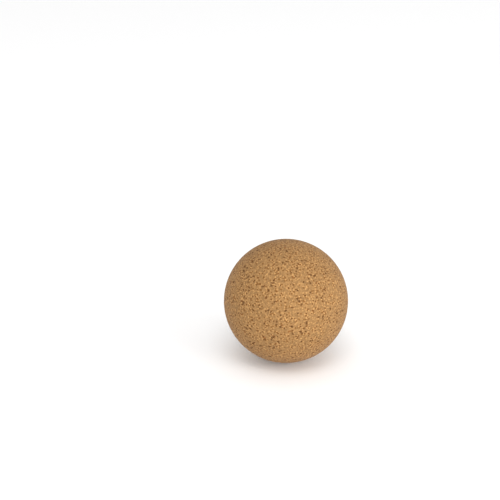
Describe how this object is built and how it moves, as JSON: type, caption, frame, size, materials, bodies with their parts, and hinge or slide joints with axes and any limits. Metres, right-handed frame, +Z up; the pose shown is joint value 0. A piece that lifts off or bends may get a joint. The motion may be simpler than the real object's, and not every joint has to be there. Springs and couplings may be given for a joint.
{
  "type": "massage ball",
  "caption": "Solid cork massage ball: a smooth matt sphere of agglomerated cork with dark bark flecks, for rolling under a foot, the back or a hand.",
  "frame": {"origin": "centre of the ball", "axes": "+Z up as the ball rests on a surface; the ball is the same in every direction, so X and Y are free"},
  "size_m": [0.065, 0.065, 0.065],
  "materials": {
    "cork": "matt, fine-grained agglomerated cork, turned and sanded, unsealed",
    "bark": "matt, dark bark and lenticel granules, sanded flush",
    "amber_cork": "matt, darker tan cork granules, sanded flush",
    "pale_cork": "matt, pale cork granules, sanded flush"
  },
  "bodies": {
    "root": {"cork_matrix": "cork", "bark_flecks": "bark", "bark_specks": "bark", "amber_granules": "amber_cork", "pale_granules": "pale_cork"}
  },
  "joints": []
}
